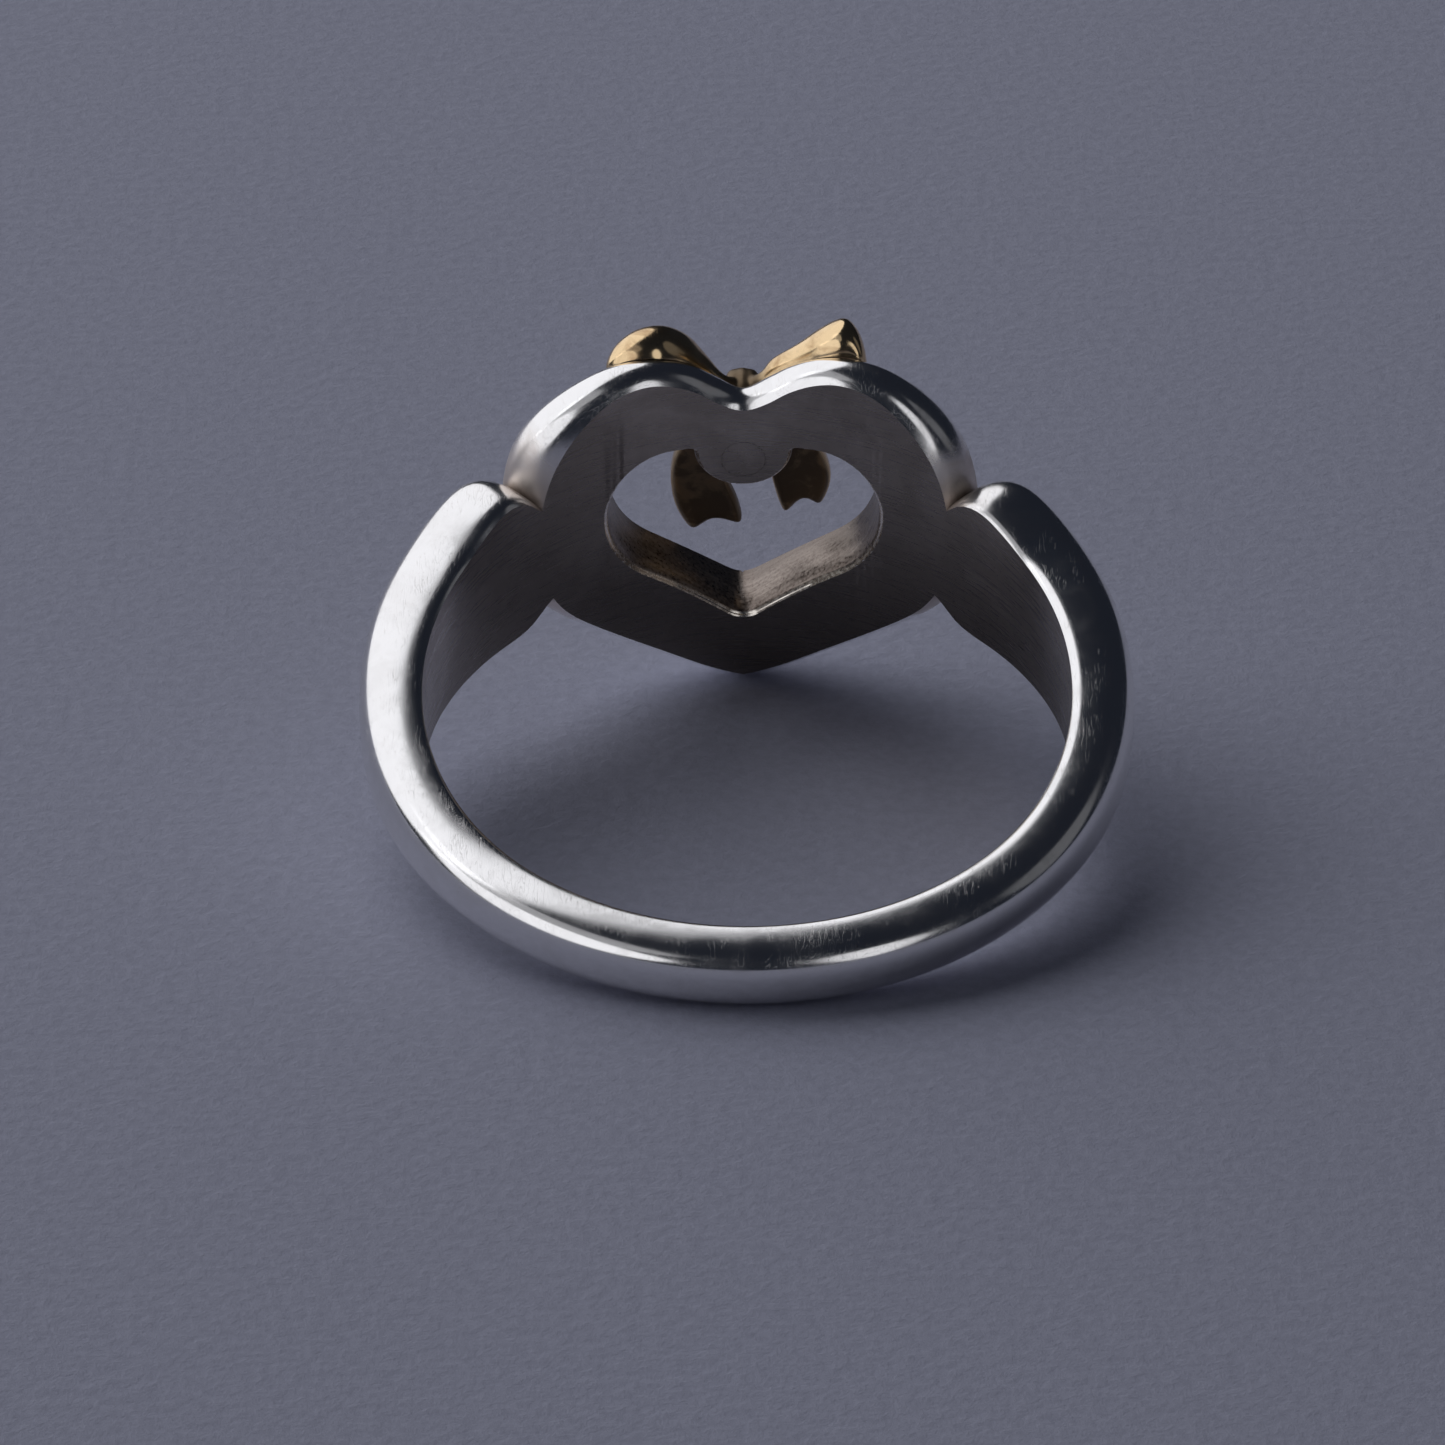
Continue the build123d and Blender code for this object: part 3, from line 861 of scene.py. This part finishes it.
def makeRing():
    body, shank = makeHeart(), makeShank()
    surfaces = [surfaceOf(body), surfaceOf(shank)]
    boreCutter = makeCylinder("boreCutter", ring["boreRadius"], ring["boreCutLength"],
                              ring["boreSegments"], Matrix(), finish=1)
    hole = makeOpeningCutter()
    pinPlace = forwards(rivet["cutMiddle"], rivet["rise"])
    pinCutter = makeCylinder("pinCutter", rivet["radius"] + rivet["gap"], rivet["cutLength"],
                             rivet["segments"], pinPlace, finish=1)
    combine(body, shank, "UNION")
    applyAll(body)
    for cutter in (boreCutter, hole, pinCutter):
        combine(body, cutter, "DIFFERENCE")
        applyAll(body)
    drop(shank, boreCutter, hole, pinCutter)
    markGrooves(body, surfaces, ring["grooveReach"])
    return body


def settle(piece, name, replaced, sharpAngle):
    # lays a finished piece down in its place and hands it to its body
    piece.name = piece.data.name = name
    piece.data.transform(lying)
    piece.data.shade_smooth()
    piece.data.set_sharp_from_angle(angle=radians(sharpAngle))
    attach(piece, "root")
    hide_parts(replaced)


silverRing = makeRing()
print("ring made:", len(silverRing.data.polygons), "faces")


# The gold bow
bow = {
    "loopReach": 3.6,
    "loopDepth": 0.75,
    "loopHeight": 0.732,
    "knotWidth": 0.9,
    "knotHeight": 0.85,
    "knotDepth": 1.3,
    "knotRise": 3.1,
    "tailThickness": 0.55,
    "tailStand": 0.12,
    "tailEdge": 0.13,         # the tails' edges are rounded this far
    "seatRadius": 0.85,
    "seatDepth": 0.8,
    "seatSegments": 48,
    "seatMiddle": 9.85,       # from the bore's axis
    "clearance": 0.03,        # from the silver
    "voxel": 0.04,
    "smoothing": (0.5, 12),   # how much each round smooths, and how many rounds
    "grooveReach": 0.22,
    "sharpAngle": 40,
    "foldDepth": 0.16,        # as a share of the loop's radius, at the knot
    "foldWays": (28, -38),    # degrees up from straight ahead
    "foldWidth": 13,          # degrees
    "foldReach": 0.62,        # as a share of the loop's reach, where the folds have run out
    "knotSquareness": 2.6,    # 2 would make the knot round
    # share of the knot's half width, of its half depth and half height: the ribbon's turns
    "knotRows": [(-1.0, 0.50), (-0.9, 0.76), (-0.68, 0.90), (-0.42, 0.94), (-0.30, 0.92),
                 (-0.16, 0.98), (0.0, 1.0), (0.16, 0.98), (0.30, 0.92), (0.42, 0.94),
                 (0.68, 0.90), (0.9, 0.76), (1.0, 0.50)],
    # across, depth, height, how far off the bore's face, and rise, all as shares
    "leftLoop": [
        (0.05, 0.36, 0.38, 0.62, 0.69),
        (0.14, 0.42, 0.44, 0.605, 0.71),
        (0.26, 0.62, 0.62, 0.69, 0.78),
        (0.40, 0.88, 0.88, 0.676, 0.88),
        (0.58, 1.0, 1.0, 0.571, 0.96),
        (0.77, 0.90, 0.90, 0.51, 0.97),
        (0.92, 0.58, 0.58, 0.467, 0.94),
        (0.985, 0.20, 0.20, 0.395, 0.915),
    ],
    "rightLoop": [
        (0.05, 0.36, 0.38, 0.63, 0.69),
        (0.135, 0.40, 0.40, 0.66, 0.71),
        (0.21, 0.50, 0.50, 0.725, 0.76),
        (0.386, 0.60, 0.60, 0.683, 0.855),
        (0.55, 0.82, 0.82, 0.635, 0.94),
        (0.68, 0.93, 0.93, 0.62, 0.988),
        (0.76, 0.92, 0.92, 0.62, 0.992),
        (0.83, 0.78, 0.78, 0.54, 0.97),
        (0.873, 0.50, 0.50, 0.46, 0.945),
        (0.89, 0.18, 0.18, 0.40, 0.93),
    ],
}

# The tails: shares of their length, across and down from the knot, round the outline
tails = {
    "left": {
        "length": 5.33,
        "outer": [(-0.05, 0.03), (-0.09, 0.18), (-0.233, 0.33), (-0.332, 0.49), (-0.356, 0.655),
                  (-0.331, 0.845), (-0.25, 1.0)],
        "cut": (-0.145, 0.90),
        "inner": [(0.008, 0.962), (-0.028, 0.793), (-0.086, 0.638), (-0.073, 0.44), (0.0, 0.2),
                  (0.03, 0.03)],
    },
    "right": {
        "length": 4.77,
        "outer": [(0.05, 0.03), (0.101, 0.197), (0.271, 0.307), (0.393, 0.45), (0.478, 0.645),
                  (0.484, 0.789), (0.431, 0.941)],
        "cut": (0.335, 0.862),
        "inner": [(0.2325, 1.0), (0.186, 0.856), (0.144, 0.653), (0.085, 0.45), (0.0, 0.205),
                  (-0.03, 0.03)],
    },
}
tailBack = ring["boreRadius"] + heart["openingThickness"] + bow["tailStand"]


def folded(way, across):
    # the share of its radius that a point round the loop keeps: it sinks into the folds, which
    # are deepest at the knot and run out along the loop
    depth = bow["foldDepth"] * max(0.0, 1 - across / bow["foldReach"])
    return 1 - depth * sum(bell(way, fold, bow["foldWidth"]) for fold in bow["foldWays"])


def makeLoop(name, side):
    bm = bmesh.new()
    loops = []
    for across, depth, height, out, rise in spread(bow[name], 3):
        front = ring["boreRadius"] + out * heart["thickness"]
        middle = rise * heart["lobeRise"]
        places = []
        for turn in range(0, 360, 9):
            size = folded(turn - 360 if turn > 180 else turn, across)
            places.append((side * across * bow["loopReach"],
                           front + cos(radians(turn)) * depth * bow["loopDepth"] * size,
                           middle + sin(radians(turn)) * height * bow["loopHeight"] * size))
        loops.append(addLoop(bm, places))
    bridge(bm, loops)
    piece = finishMesh(bm, name)
    subdivide(piece)
    applyAll(piece)
    return piece


def softened(points, rounds):
    # rounds the corners of a closed outline
    for _ in range(rounds):
        threes = zip(points[-1:] + points[:-1], points, points[1:] + points[:1])
        points = [[(a + 2 * b + c) / 4 for a, b, c in zip(*three)] for three in threes]
    return points


def makeTail(name, tail):
    bm = bmesh.new()
    outer, inner = spread(tail["outer"], 4), spread(tail["inner"], 4)
    sides = []
    for end in (outer[-1], inner[0]):
        sides.append([[a + (b - a) * part / 4 for a, b in zip(tail["cut"], end)] for part in (1, 2, 3)])
    outline = softened(outer + sides[0][::-1] + [tail["cut"]] + sides[1] + inner, 2)
    places = [(x * tail["length"], tailBack + bow["tailEdge"], bow["knotRise"] - down * tail["length"])
              for x, down in outline]
    made = bmesh.ops.create_circle(bm, segments=len(places), radius=1, cap_ends=True)
    for vert, place in zip(made["verts"], places):
        vert.co = place
    grown = bmesh.ops.extrude_face_region(bm, geom=list(bm.faces))
    moved = [item for item in grown["geom"] if isinstance(item, bmesh.types.BMVert)]
    bmesh.ops.translate(bm, verts=moved, vec=(0, bow["tailThickness"] - 2 * bow["tailEdge"], 0))
    bmesh.ops.recalc_face_normals(bm, faces=bm.faces)
    for pick in (min, max):
        face = pick(bm.faces, key=lambda face: face.calc_center_median().y)
        bmesh.ops.inset_region(bm, faces=[face], thickness=bow["tailEdge"], depth=bow["tailEdge"])
    bmesh.ops.triangulate(bm, faces=bm.faces)
    return finishMesh(bm, name)


def makeKnot():
    # loops stacked across, each a rounded square, with the ribbon's turns as ridges
    bm = bmesh.new()
    middle = tailBack + bow["tailThickness"] / 2 - bow["knotDepth"] / 2
    power = bow["knotSquareness"]
    loops = []
    for across, size in bow["knotRows"]:
        places = []
        for turn in range(0, 360, 12):
            y, z = cos(radians(turn)), sin(radians(turn))
            square = (abs(y)**power + abs(z)**power) ** (-1 / power)
            places.append((across * bow["knotWidth"] / 2,
                           middle + y * square * size * bow["knotDepth"] / 2,
                           bow["knotRise"] + z * square * size * bow["knotHeight"] / 2))
        loops.append(addLoop(bm, places))
    bridge(bm, loops)
    piece = finishMesh(bm, "knot")
    subdivide(piece)
    applyAll(piece)
    return piece


def makeBow():
    body = makeLoop("leftLoop", -1)
    others = [makeLoop("rightLoop", 1), makeKnot()]
    others += [makeTail(side + "Tail", tails[side]) for side in ("left", "right")]
    surfaces = [surfaceOf(piece) for piece in (body, *others)]
    seatPlace = forwards(bow["seatMiddle"], rivet["rise"])
    others.append(makeCylinder("seat", bow["seatRadius"], bow["seatDepth"],
                               bow["seatSegments"], seatPlace))
    for other in others:
        combine(body, other, "UNION")
    applyAll(body)
    drop(*others)
    remesh = body.modifiers.new("fuse", "REMESH")
    remesh.mode, remesh.voxel_size = "VOXEL", bow["voxel"]
    soften = body.modifiers.new("soften", "SMOOTH")
    soften.factor, soften.iterations = bow["smoothing"]
    applyAll(body)
    lobes = makeHeart(bow["clearance"])
    combine(body, lobes, "DIFFERENCE")
    applyAll(body)
    drop(lobes)
    markGrooves(body, surfaces, bow["grooveReach"])
    return body


goldBow = makeBow()
dress(goldBow, gold)
print("bow made:", len(goldBow.data.polygons), "faces")

settle(silverRing, "ring_body_looks", "ring_body", ring["sharpAngle"])
settle(goldBow, "gold_bow_looks", "gold_bow", bow["sharpAngle"])

dress(frame["nodes"]["bow_rivet"], pin)


# The floor and the lights
studio = {
    "floorSize": 3.0,
    "world": (0.010, 0.012, 0.018, 1),
    "lightColour": (0.955, 0.960, 1.0),
    # name, degrees clockwise from the heart's side, degrees up, distance, size, brightness, and
    # whether it lights the floor or only shows in the metal
    "lights": [
        ("backSoftbox", -48, 37, 0.60, (1.03, 0.93), 0.99, True),
        ("leftCard", -125, 21, 0.60, (0.80, 0.46), 0.95, False),
        ("leftFill", -122, 51, 0.60, (0.60, 0.26), 0.30, False),
        ("rightSoftbox", 94, 25, 0.60, (0.32, 0.44), 0.09, True),
        ("rightCard", 148, 21, 0.60, (0.28, 0.44), 0.72, False),
    ],
}


def makeFloor():
    bm = bmesh.new()
    bmesh.ops.create_grid(bm, x_segments=1, y_segments=1, size=studio["floorSize"] / 2)
    piece = finishMesh(bm, "floor")
    dress(piece, palePaper())


def makeLights():
    for name, turn, up, distance, size, brightness, floorToo in studio["lights"]:
        data = bpy.data.lights.new(name, "AREA")
        data.shape, data.size, data.size_y = "ELLIPSE", size[0], size[1]
        # the power that gives an ellipse of this size this brightness
        data.energy = brightness * pi**2 * size[0] * size[1] / 4
        data.color = studio["lightColour"]
        around, above = radians(turn), radians(up)
        way = Vector((sin(around) * cos(above), cos(around) * cos(above), sin(above)))
        lamp = bpy.data.objects.new(name, data)
        lamp.visible_diffuse = floorToo
        lamp.matrix_world = (Matrix.Translation(way * distance)
                             @ way.to_track_quat("Z", "Y").to_matrix().to_4x4())
        bpy.context.scene.collection.objects.link(lamp)
    world = bpy.data.worlds.new("studioWorld")
    world.use_nodes = True
    world.node_tree.nodes["Background"].inputs["Color"].default_value = studio["world"]
    bpy.context.scene.world = world


makeFloor()
makeLights()
bpy.context.scene.view_settings.view_transform = "Standard"
print("studio ready")
